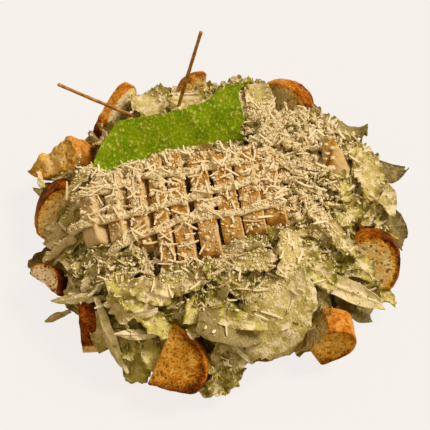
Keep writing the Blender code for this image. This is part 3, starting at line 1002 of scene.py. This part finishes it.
# %% Large leaves
SMOOTH = {"ruffle": 1.2, "waves": 1.2, "ragged": 0.08, "tip": 0.4, "crumple": 0.9}
FRILLY = {"ruffle": 2.2, "waves": 2.5, "frill": 1.5, "ragged": 0.12, "tip": 0.45}
STRIP = {"ruffle": 0.8, "waves": 1.5, "cup": -0.25, "rib": 1.6, "tip": 0.8, "ragged": 0.10}
SCALLOPED = {"ruffle": 2.2, "waves": 4.0, "frill": 0.5, "ragged": 0.12, "tip": 0.35, "bend": -0.5}
# Each row: finish, (x, y) on the plan, lift, heading in degrees, (length, width), (pitch, roll) in
# degrees, form, tone.
LARGE = [
    # Front: the broad pale leaf with its torn spike, and the frilled leaf to its left.
    (pale_leaf, (38, -90), 8, -98, (58, 47), (-6, 2), SMOOTH | {"bend": -0.8, "cup": -0.12, "tip": 0.50, "ragged": 0.2}, 0.35),
    (rib_leaf, (47, -76), 12, 80, (30, 12), (18, -24), SMOOTH | {"tip": 1.3, "bend": 0.2}, 0.30),
    (green_leaf, (10, -95), 9, -14, (42, 12), (6, 20), FRILLY | {"bend": -0.3}, 0.05),
    (olive_leaf_painted_shade, (8, -98), 7, -14, (42, 26), (0, -16), SMOOTH | {"bend": -0.3, "cup": 0.1}, 0.0),
    (rib_leaf, (13, -106), 5, -48, (32, 5), (-4, 0), STRIP | {"bend": -0.6}, 0.50),
    (pale_leaf, (10, -108), 2, -100, (28, 26), (-8, 0), SMOOTH | {"bend": -0.6}, 0.60),
    (pale_leaf, (-1, -120), 1, -90, (26, 26), (-6, 0), SCALLOPED, 0.50),
    # Front left: upright frills, a long rib and pointed strips.
    (rib_leaf, (-62, -96), 9, -86, (52, 9), (-10, 6), STRIP | {"tip": 1.0, "bend": -0.5}, 0.60),
    (pale_leaf, (-71, -90), 5, -98, (26, 13), (-4, -8), SMOOTH, 0.40),
    (green_leaf, (-54, -76), 9, -60, (32, 18), (10, -18), FRILLY, 0.10),
    (rib_leaf, (-46, -87), 10, 10, (19, 10), (8, 6), STRIP | {"tip": 0.6}, 0.20),
    (rib_leaf, (-51, -97), 10, 176, (26, 7), (4, 10), STRIP | {"tip": 1.4, "bend": -0.2}, 0.20),
    (green_leaf, (-50, -108), 3, -82, (26, 20), (0, 10), FRILLY | {"bend": -0.6}, 0.45),
    (green_leaf, (-42, -102), 8, -70, (24, 14), (10, -20), FRILLY | {"crumple": 2.6}, 0.10),
    (green_leaf, (-40, -90), 9, -50, (28, 16), (14, -20), FRILLY | {"crumple": 2.6}, 0.15),
    (pale_leaf, (-40, -78), 10, 160, (28, 16), (8, -14), FRILLY | {"crumple": 2.4}, 0.05),
    (pale_leaf, (-56, -84), 11, 120, (22, 13), (14, -10), FRILLY | {"crumple": 2.4}, 0.05),
    # Left: dressed leaves in shade, the twisted strip and the torn shreds by the upper crouton.
    (pale_leaf, (-100, -16), 4, 172, (34, 22), (4, 8), SMOOTH, 0.55),
    (pale_leaf, (-92, -34), 6, -165, (34, 16), (0, 12), SMOOTH, 0.55),
    (olive_leaf_painted_shade, (-110, -22), 2, -150, (34, 26), (0, 0), SCALLOPED, 0.45),
    (rib_leaf, (-83, -68), 9, 186, (46, 7), (-4, 24), STRIP | {"twist": 0.9, "bend": -0.5}, 0.75),
    (rib_leaf, (-104, -66), 3, 205, (18, 6), (-4, 10), STRIP | {"bend": -0.5}, 0.90),
    (pale_leaf, (-88, 12), 8, 45, (30, 7), (-6, 20), STRIP, 0.30),
    # Back: leaves behind the crisp and the smooth coated leaf by the back right crouton.
    (green_leaf, (-46, 88), 4, 100, (34, 30), (4, -6), FRILLY, 0.35),
    (pale_leaf, (-44, 76), 6, 112, (34, 26), (6, 10), FRILLY, 0.15),
    (pale_leaf, (-20, 82), 3, 92, (32, 30), (4, 0), SMOOTH, 0.30),
    (pale_leaf, (15, 80), 3, 60, (26, 22), (0, 0), FRILLY, 0.25),
    (pale_leaf, (30, 82), 6, 95, (46, 22), (0, -10), SMOOTH | {"bend": -0.7}, 0.20),
    (pale_leaf, (44, 54), 4, 84, (40, 22), (0, -6), SMOOTH | {"bend": -0.4}, 0.10),
    # Right back: scalloped outer leaves behind the chicken tip.
    (olive_leaf_painted_shade, (90, 74), 3, 55, (40, 38), (4, 0), SCALLOPED, 0.35),
    (olive_leaf_painted_shade, (108, 52), 2, 25, (38, 36), (4, 0), SCALLOPED, 0.35),
    (green_leaf, (96, 46), 6, 20, (32, 26), (4, -8), FRILLY, 0.45),
    # Right: the leaf whose tip curls out, the pale triangle and the one below, darker with painted shade.
    (olive_leaf_painted_shade, (113, 30), 4, 22, (44, 24), (8, -10), SMOOTH | {"tip": 1.0, "bend": -0.1}, 0.85),
    (olive_leaf_painted_shade, (118, -6), 3, -20, (34, 26), (-4, 6), SMOOTH, 0.85),
    (pale_leaf, (110, 8), 6, -62, (32, 22), (4, 8), SMOOTH | {"tip": 0.9, "bend": -0.2}, 0.45),
    (pale_leaf, (100, 18), 8, -84, (38, 22), (4, 14), FRILLY | {"bend": -0.3}, 0.15),
    (green_leaf, (80, 4), 5, -70, (30, 20), (8, -10), FRILLY, 0.55),
    (green_leaf, (86, -14), 5, -120, (28, 20), (8, 14), FRILLY, 0.70),
    (pale_leaf, (73, -34), 8, -50, (48, 13), (0, 10), FRILLY | {"tip": 0.5}, 0.25),
    # Right front: the whitish rib strip, the olive leaf and the rounded leaf at the rim, dark with painted shade.
    (olive_leaf_painted_shade, (92, -66), 1, -42, (30, 28), (-8, 0), SMOOTH | {"cup": 0.25, "bend": -0.5}, 0.55),
    (pale_leaf, (66, -84), 4, -95, (36, 30), (-8, -6), SMOOTH, 0.50),
    (rib_leaf, (82, -64), 9, -24, (54, 14), (-6, 10), SMOOTH | {"rib": 1.5, "tip": 0.5, "bend": -0.4, "ragged": 0.18}, 0.25),
    (green_leaf, (62, -58), 6, -50, (34, 20), (6, 12), FRILLY, 0.45),
    # Middle of the front: the long coated leaf below the chicken and the grainy one beside it.
    (pale_leaf, (49, -52), 6, -104, (46, 27), (2, -8), FRILLY | {"bend": -0.3, "crumple": 2.4}, 0.20),
    (pale_leaf, (20, -58), 6, -18, (38, 22), (4, 8), FRILLY | {"bend": -0.2}, 0.20),
    (green_leaf, (18, -76), 4, -30, (30, 16), (0, 0), FRILLY, 0.90),
    (pale_leaf, (-20, -72), 6, 200, (36, 20), (4, -10), FRILLY, 0.25),
]
large = []
for number, (look, (x, y), lift, heading, (length, width), (pitch, roll), form, tone) in enumerate(LARGE):
    kind = gather(leaf("large", length, width, form, 40 + number, 36, 22))
    hit, normal = drop(heap_tree, x, y)
    if hit is None:
        hit, normal = on_plan(x, y), Vector((0, 0, 1))
    normal = (normal + Vector((0, 0, 0.3))).normalized()
    place = facing(hit + normal * lift * MM, normal, math.radians(heading), math.radians(pitch), math.radians(roll))
    piece = spread(f"lettuce_large_{number + 1:02d}", [kind], [(0, place, tone)], look)
    large.append(lay_leaves(piece))
large_tree = landing(large)

# %% [markdown]
# ## Small leaves
# A few hundred torn pieces cover the core like shingles. Sixteen kinds are modelled once and
# copied with their own turn, size and tone. They lie along the slope, point mostly outwards and
# tilt enough to show their edges and cast small shadows. None is laid over a topping or in front
# of the crisp, and few are laid under a large leaf.

# %% Leaf kinds
leaf_kinds = []
for number in range(16):
    chance = random.Random(100 + number)
    strip = number % 4 == 0
    form = {
        "ruffle": 0.7 if strip else chance.uniform(1.0, 2.4),
        "waves": chance.uniform(1.5, 3.5),
        "frill": 0.0 if strip else chance.choice((0.0, 0.7, 1.2)),
        "cup": chance.uniform(-0.3, 0.55),
        "bend": chance.uniform(-1.5, 0.6),
        "twist": chance.uniform(-0.7, 0.7),
        "rib": 1.5 if strip else chance.uniform(0.4, 1.0),
        "tip": chance.uniform(0.3, 0.8),
    }
    length, width = chance.uniform(20, 34), chance.uniform(6, 10) if strip else chance.uniform(14, 24)
    leaf_kinds.append(gather(leaf(f"kind {number}", length, width, form | {"crumple": 1.4}, number, 16, 11)))
bit_kinds = []
for number in range(10):
    form = {"ruffle": 1.6, "waves": 1.5, "frill": 0.8, "bend": chance.uniform(-1.6, 0.8), "crumple": 1.8, "rib": 0.5}
    bit_kinds.append(gather(leaf(f"bit {number}", chance.uniform(9, 16), chance.uniform(4, 10), form, 60 + number, 9, 6)))
print("leaf kinds:", len(leaf_kinds), "torn bits:", len(bit_kinds))

# %% Small leaves
chance = random.Random(5)


def shingle(lift, tilt, kinds, skip_under_large=0.8, reach=122):
    """A place on the heap for one torn piece, or None where a topping has to stay in sight."""
    angle = chance.uniform(-math.pi, math.pi)
    away = reach * math.sqrt(chance.uniform(0.0, 1.0))
    x, y = away * math.cos(angle), away * math.sin(angle)
    before_crisp = -90 < x < 34 and 8 < y - 0.27 * (x + 30) < 40
    by_torn_crouton = x < -84 and 24 < y < 72
    before_broad_leaf = x > 12 and y < -98
    hit, normal = drop(heap_tree, x, y)
    ahead = (0, 6, 12, 18, 24, 30) if y > 20 else (0,)
    covered = any(drop(topping_tree, x + step * math.cos(angle), y + step * math.sin(angle))[0] is not None for step in ahead)
    under_large = drop(large_tree, x, y)[0] is not None and chance.random() < skip_under_large
    if hit is None or before_crisp or by_torn_crouton or before_broad_leaf or covered or under_large:
        return None
    normal = (normal + Vector((0, 0, 0.4))).normalized()
    place = facing(
        hit + normal * chance.uniform(*lift) * MM,
        normal,
        angle + chance.gauss(0, 0.9),
        pitch=chance.gauss(0.05, tilt),
        roll=chance.gauss(0, 1.2 * tilt),
        size=chance.uniform(0.7, 1.1),
        mirror=chance.choice((-1, 1)),
    )
    return chance.randrange(kinds), place, chance.uniform(0.1, 0.9)


def shingles(count, **words):
    found = []
    while len(found) < count:
        place = shingle(**words)
        found += [place] if place else []
    return found


pale_places = shingles(205, lift=(-1.5, 2.5), tilt=0.32, kinds=16)
green_places = shingles(150, lift=(-1.5, 2.0), tilt=0.32, kinds=16)
bit_places = shingles(300, lift=(0.5, 4.0), tilt=0.45, kinds=10, skip_under_large=0.8, reach=118)
small_pale = lay_leaves(spread("lettuce_small_pale", leaf_kinds, pale_places, pale_leaf), 0.6)
small_green = lay_leaves(spread("lettuce_small_green", leaf_kinds, green_places, green_leaf), 0.6)
torn_bits = lay_leaves(spread("lettuce_torn_bits", bit_kinds, bit_places, pale_leaf), 0.6)

# %% [markdown]
# ## Sauce
# The sauce was drizzled to and fro over the chicken. Each stripe is a row of flattened drops that
# follow the surface and bridge its gaps; a voxel remesh melts them into one ribbon with soft,
# uneven sides.

# %% Sauce stripes
STRIPES = [
    [(-62, 28), (-38, 25), (-24, 24), (-6, 32), (14, 29)],
    [(-72, 15), (-44, 22)],
    [(-46, 2), (-24, 4), (-4, 8), (18, 12)],
    [(-90, -10), (-72, -8), (-56, -2)],
    [(-112, -36), (-98, -32), (-84, -33), (-66, -31), (-46, -26), (-24, -19), (-4, -12), (18, -6), (32, 1)],
    [(-16, -33), (2, -30), (18, -27), (38, -22)],
    [(-66, -52), (-54, -45), (-34, -39), (-22, -34), (-10, -27), (2, -19)],
]
bpy.ops.object.select_all(action="DESELECT")
bpy.ops.mesh.primitive_ico_sphere_add(subdivisions=2, radius=1.0)
drop_kind = gather(bpy.context.object)


def melt(name, drops, look, voxel, lumps, lump_size):
    """Joins drops into one lumpy skin."""
    piece = spread(name, [drop_kind], drops, look)
    modify(piece, "REMESH", mode="VOXEL", voxel_size=voxel * MM)
    modify(piece, "SMOOTH", factor=0.5, iterations=3)
    points, normals = points_of(piece.data), normals_of(piece.data)
    points += normals * (lumps * layered_noise(points, lump_size * MM) * MM)[:, None]
    move_points(piece.data, points)
    piece.data.materials.clear()
    piece.data.materials.append(look)
    return serve(piece, "dressed_lettuce")


chance = random.Random(11)
lettuce = [core, small_pale, small_green, torn_bits, *large]
ground = landing([*lettuce, *meat])
drops, stripe_points = [], []
for stripe in STRIPES:
    line = []
    for (x0, y0), (x1, y1) in zip(stripe, stripe[1:]):
        steps = max(2, int(math.hypot(x1 - x0, y1 - y0) / 1.1))
        line += [(x0 + (x1 - x0) * s / steps, y0 + (y1 - y0) * s / steps) for s in range(steps)]
    line = np.array(line)
    flat = np.stack([line[:, 0], line[:, 1], line[:, 0] * 0], 1)
    line[:, 1] += 1.0 * soft_noise(flat, 9.0, 8)
    wide = 3.0 + 0.6 * soft_noise(flat, 6.0, 3)
    heights = []
    for x, y in line:
        hit, _ = drop(ground, x, y)
        heights.append(hit.z if hit else 0.0)
    for number, (x, y) in enumerate(line):
        near = heights[max(0, number - 6) : number + 7]
        z = 0.72 * max(near) + 0.28 * sum(near) / len(near)
        half = (wide[number] + chance.uniform(-0.2, 0.2)) * MM
        place = Matrix.Translation(on_plan(x, y, z / MM + 0.5)) @ Matrix.Diagonal((half, half, 0.62 * half, 1))
        drops.append((0, place, 0.5))
        stripe_points.append((x, y))
sauce = melt("sauce_stripes", drops, sauce_look, 0.6, 0.4, 3)

# %% [markdown]
# ## Grated cheese
# Hard cheese grates into crumbs, fine grains and thin shreds. Where it lies thickest, over the
# chicken's right end and behind it, it is a bed of packed crumbs with loose ones on top. A few
# kinds of each are modelled once; thousands of copies are dropped onto the food. A second helping
# falls on the first, so the cheese piles up.


# %% Where cheese falls
def mound(x, y, at, reach, power=2):
    return math.exp(-abs((x - at[0]) / reach[0]) ** power - abs((y - at[1]) / reach[1]) ** power)


def cheese_share(x, y):
    """How thickly the cheese lies here, from 0 to 1; x and y in plan millimetres."""
    total = 0.42 * mound(x, y, (-20, -2), (66, 36), 4) + 1.0 * mound(x, y, (48, 42), (36, 32), 3)
    total += 0.25 * mound(x, y, (-50, 16), (26, 20)) + 0.75 * mound(x, y, (54, 0), (24, 30), 3)
    total += 0.45 * mound(x, y, (-68, -8), (26, 26), 3)
    total += 0.60 * mound(x, y, (-30, -58), (66, 16)) + 0.10 * mound(x, y, (34, -72), (30, 20))
    total += 0.35 * mound(x, y, (-78, 24), (18, 14)) + 0.20 * mound(x, y, (74, -34), (12, 18))
    return min(1.0, total + 0.06 * math.exp(-((math.hypot(x, y) / 110) ** 6)))


# %% Packed crumbs
crisp_tree, meat_tree = landing([crisp]), landing(meat)
tip_tree = landing([piece for piece in meat if "tip" in piece.name])
bed = []
while len(bed) < 900:
    x, y = chance.uniform(-90, 100), chance.uniform(-50, 90)
    over_topping = drop(topping_tree, x, y)[0] is not None and chance.random() < 0.6
    if chance.random() > (cheese_share(x, y) - 0.35) / 0.65 or over_topping or drop(crisp_tree, x, y)[0] is not None:
        continue
    hit, normal = drop(ground, x, y)
    if hit is None or hit.z < 30 * MM:
        continue
    half = chance.uniform(1.4, 2.4) * MM
    bed.append((0, Matrix.Translation(hit + Vector((0, 0, 0.2 * half))) @ Matrix.Diagonal((half, half, 0.6 * half, 1)), 0.5))
cheese_bed = melt("cheese_bed", bed, sauce_look, 0.6, 0.9, 2.2)


# %% Cheese kinds
def crumb_kind(seed, subdivisions=1):
    bpy.ops.object.select_all(action="DESELECT")
    bpy.ops.mesh.primitive_ico_sphere_add(subdivisions=subdivisions, radius=0.5)
    piece = bpy.context.object
    points = points_of(piece.data)
    points *= (1 + 0.45 * soft_noise(points, 0.5, seed))[:, None] * np.array((1.2, 0.95, 0.8))
    move_points(piece.data, points)
    return gather(piece)


def shred_kind(seed):
    chance = random.Random(seed)
    bpy.ops.object.select_all(action="DESELECT")
    bpy.ops.mesh.primitive_cube_add(size=1.0)
    piece = bpy.context.object
    bpy.ops.object.mode_set(mode="EDIT")
    for cut in (-0.25, 0.0, 0.25):
        bpy.ops.mesh.select_all(action="SELECT")
        bpy.ops.mesh.bisect(plane_co=(cut, 0, 0), plane_no=(1, 0, 0))
    bpy.ops.object.mode_set(mode="OBJECT")
    points = points_of(piece.data)
    along = points[:, 0] * 2
    girth = 1 - 0.35 * np.abs(along) ** 4
    bow = chance.uniform(-0.07, 0.07)
    points[:, 1] = points[:, 1] * girth + bow * 7 * (along**2 - 0.4)
    points[:, 2] = points[:, 2] * girth + chance.uniform(0.0, 0.5) * along**2
    move_points(piece.data, points)
    return gather(piece)


crumb_kinds = [crumb_kind(number * 1.3) for number in range(12)]
shred_kinds = [shred_kind(number) for number in range(12)]
print("faces of a crumb and of a shred:", len(crumb_kinds[0][1]), len(shred_kinds[0][1]))


# %% Dropping cheese
chance = random.Random(21)
crumb_places, shred_places, grain_places = [], [], []


def cheese_piece(x, y, kind, lift=0.25):
    hit, normal = drop(ground, x, y)
    shade, _ = drop(crisp_tree, x, y)
    if hit is None or normal.z < 0.1 or hit.z < 4 * MM or (shade is not None and shade.z > hit.z):
        return
    on_meat = drop(meat_tree, x, y)[0] is not None
    if on_meat and (normal.z < 0.75 or chance.random() < {"crumb": 0.45, "shred": 0.0, "grain": 0.9}[kind]):
        return
    if drop(tip_tree, x, y)[0] is not None and chance.random() < 0.9:
        return
    if kind == "shred":
        long, wide, thick = chance.uniform(5, 13), chance.uniform(0.9, 1.5), chance.uniform(0.7, 1.1)
        flatter = (normal + Vector((0, 0, 0.8))).normalized()
        place = facing(hit + normal * 0.8 * MM, flatter, chance.uniform(0, 6.3), roll=chance.gauss(0, 0.06))
        place = place @ Matrix.Rotation(math.pi / 2, 4, "Z") @ Matrix.Rotation(chance.gauss(0, 0.06), 4, "Y")
        shred_places.append((chance.randrange(12), place @ Matrix.Diagonal((long * MM, wide * MM, thick * MM, 1)), chance.random()))
        return
    size = min(2.8, chance.lognormvariate(0.28, 0.40)) if kind == "crumb" else chance.uniform(0.5, 1.0)
    turn = Matrix.Rotation(chance.uniform(0, 6.3), 4, "Z") @ Matrix.Rotation(chance.gauss(0, 0.5), 4, "Y")
    long, flat = chance.uniform(0.9, 1.3), chance.uniform(0.75, 1.0)
    shape = Matrix.Diagonal((size * long * MM, size * flat * MM, size * flat * MM, 1))
    place = Matrix.Translation(hit + normal * lift * size * MM) @ turn @ shape
    lot = crumb_places if kind == "crumb" else grain_places
    lot.append((chance.randrange(12), place, chance.random()))


def scatter(kind, places, count):
    while len(places) < count:
        x, y = chance.uniform(-125, 125), chance.uniform(-120, 115)
        if chance.random() < cheese_share(x, y):
            cheese_piece(x, y, kind)


# %% First helping
ground = landing([*lettuce, *meat, sauce, cheese_bed])
scatter("crumb", crumb_places, 3000)
for x, y in stripe_points:
    for _ in range(3):
        cheese_piece(x + chance.gauss(0, 1.8), y + chance.gauss(0, 1.8), "crumb")
scatter("shred", shred_places, 220)
crumbs = spread("cheese_crumbs", crumb_kinds, crumb_places, cheese_look)
shreds = spread("cheese_shreds", shred_kinds, shred_places, cheese_look)

# %% Second helping
ground = landing([*lettuce, *meat, sauce, cheese_bed, crumbs, shreds])
crumb_places, shred_places = [], []
scatter("crumb", crumb_places, 3000)
scatter("shred", shred_places, 270)
scatter("grain", grain_places, 6000)
top_crumbs = spread("cheese_crumbs_top", crumb_kinds, crumb_places, cheese_look)
top_shreds = spread("cheese_shreds_top", shred_kinds, shred_places, cheese_look)
grains = spread("cheese_grains", crumb_kinds, grain_places, cheese_look)
for piece in (crumbs, shreds, top_crumbs, top_shreds, grains):
    serve(piece, "dressed_lettuce")

# %% [markdown]
# ## Floor, light and camera
# A plain pale floor, a warm soft key light from behind on the right and a faint fill from all
# round, which leaves the near left side in gentle shade.

# %% Floor
bpy.ops.object.select_all(action="DESELECT")
bpy.ops.mesh.primitive_plane_add(size=6.0, location=(0, 0, -0.0004))
floor = bpy.context.object
floor.name = "floor"
floor_look, floor_tree, floor_shader = new_finish("pale floor", roughness=0.9, specular=0.0)
floor_shader.inputs["Base Color"].default_value = (0.065, 0.065, 0.065, 1)
floor_shader.inputs["Emission Strength"].default_value = 1.0
seen = put(floor_tree, "ShaderNodeLightPath").outputs["Is Camera Ray"]
glow = blend_colours(floor_tree, seen, (0.46, 0.36, 0.20), (0.853, 0.815, 0.786))
floor_tree.links.new(glow, floor_shader.inputs["Emission Color"])
floor.data.materials.append(floor_look)
settle_in(floor)

# %% Light
key = bpy.data.lights.new("key", "SUN")
key.energy = 2.8
key.angle = math.radians(26)
key.color = (1.0, 0.895, 0.73)
key_lamp = bpy.data.objects.new("key", key)
bpy.context.scene.collection.objects.link(key_lamp)
towards = Vector((math.cos(math.radians(18)), math.sin(math.radians(18)), math.tan(math.radians(50))))
key_lamp.rotation_euler = towards.to_track_quat("Z", "Y").to_euler()
world = bpy.data.worlds.new("studio")
bpy.context.scene.world = world
world.use_nodes = True
world.node_tree.nodes["Background"].inputs["Color"].default_value = (1.0, 0.75, 0.38, 1)
world.node_tree.nodes["Background"].inputs["Strength"].default_value = 0.42
bpy.context.scene.view_settings.view_transform = "Standard"

# %% Camera
elevation, distance = math.radians(52), 0.80
target = on_plan(0, 0, 27)
camera_data = bpy.data.cameras.new("camera")
camera_data.sensor_width = 36
camera_data.lens = 98.46
camera = bpy.data.objects.new("camera", camera_data)
bpy.context.scene.collection.objects.link(camera)
camera.location = target + distance * Vector((0, -math.cos(elevation), math.sin(elevation)))
camera.rotation_euler = (target - camera.location).to_track_quat("-Z", "Y").to_euler()
bpy.context.scene.camera = camera
